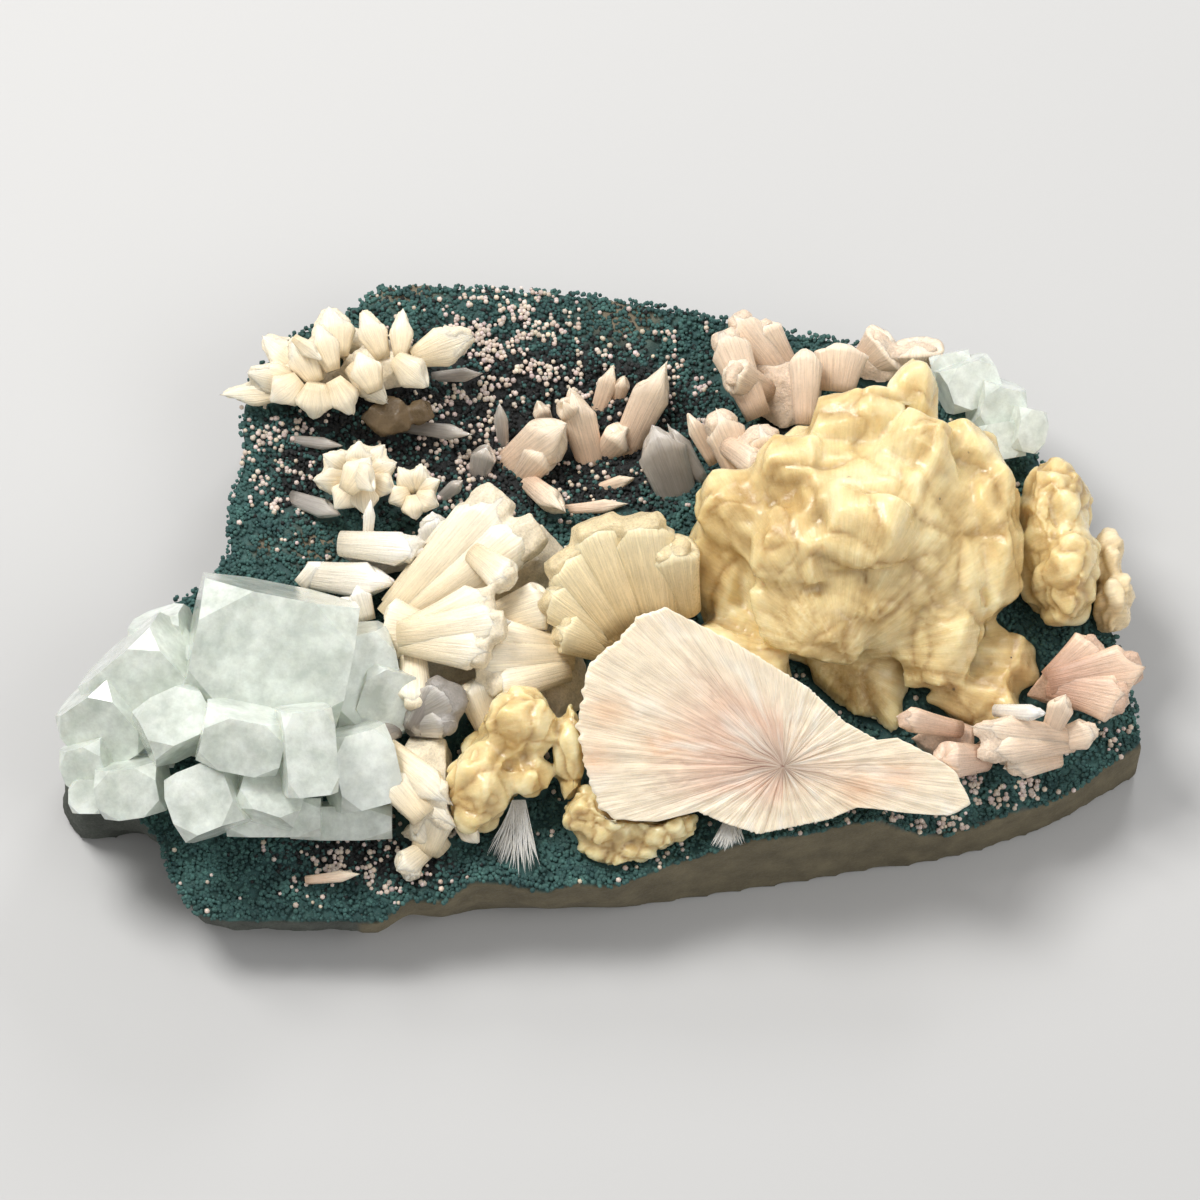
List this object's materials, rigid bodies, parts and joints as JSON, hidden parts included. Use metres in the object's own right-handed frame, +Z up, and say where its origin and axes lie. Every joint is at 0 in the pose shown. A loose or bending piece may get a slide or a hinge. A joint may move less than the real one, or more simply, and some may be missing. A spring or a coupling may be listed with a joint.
{
  "type": "zeolite specimen",
  "caption": "Plate of basalt with a hollow face lined in green celadonite, carrying stilbite sheaves and fans and blocky pale green apophyllite.",
  "frame": {"origin": "middle of the flat back that the specimen lies on, under the middle of its box", "axes": "+X along the plate to the right as seen from the sawn side, +Y from the sawn side to the back, +Z up from the flat back to the crystals"},
  "size_m": [0.2602, 0.1709, 0.0716],
  "materials": {
    "basalt": "celadonite lining on the face, sawn and matt on the side",
    "golden_stilbite": "waxy and translucent",
    "cream_stilbite": "pearly and translucent",
    "peach_stilbite": "pearly and translucent",
    "grey_stilbite": "translucent",
    "pink_stilbite": "silky cleaved face",
    "white_stilbite": "pearly",
    "apophyllite": "glassy"
  },
  "bodies": {
    "root": {"basalt_matrix": "basalt", "golden_mass": "golden_stilbite", "front_crust": "golden_stilbite", "fan_crust": "golden_stilbite", "golden_sheaf": "golden_stilbite", "golden_lobes": "golden_stilbite", "banded_columns": "golden_stilbite", "bow_tie_fan": "pink_stilbite", "apophyllite_cluster": "apophyllite", "top_right_apophyllite": "apophyllite", "centre_sheaves": "cream_stilbite", "low_left_crystals": "cream_stilbite", "upper_left_rosette": "cream_stilbite", "left_flower": "cream_stilbite", "small_flower": "cream_stilbite", "far_right_column": "cream_stilbite", "grey_clear_crystals": "grey_stilbite", "druse": "grey_stilbite", "grey_blade_top": "grey_stilbite", "grey_blade_middle": "grey_stilbite", "grey_blade_left": "grey_stilbite", "grey_blade_left_low": "grey_stilbite", "grey_blade_upright": "grey_stilbite", "grey_blade_oval": "grey_stilbite", "grey_blade_right": "grey_stilbite", "grey_peach_blade": "grey_stilbite", "left_sheaves": "white_stilbite", "white_prism_right": "white_stilbite", "fibre_spray_left": "white_stilbite", "fibre_spray_front": "white_stilbite", "lying_blade_hollow": "peach_stilbite", "small_blade_hollow": "peach_stilbite", "lying_blade_floor": "peach_stilbite", "peach_block": "peach_stilbite", "peach_blade_left": "peach_stilbite", "peach_blade_right": "peach_stilbite", "peach_foot_block": "peach_stilbite", "peach_blade_top": "peach_stilbite", "peach_blade_small": "peach_stilbite", "pink_blade": "peach_stilbite", "small_prism": "peach_stilbite", "upper_right_cluster": "peach_stilbite", "upper_right_blocks": "peach_stilbite", "right_fan": "peach_stilbite", "low_right_sheaf": "peach_stilbite", "striated_pink": "peach_stilbite"}
  },
  "joints": []
}
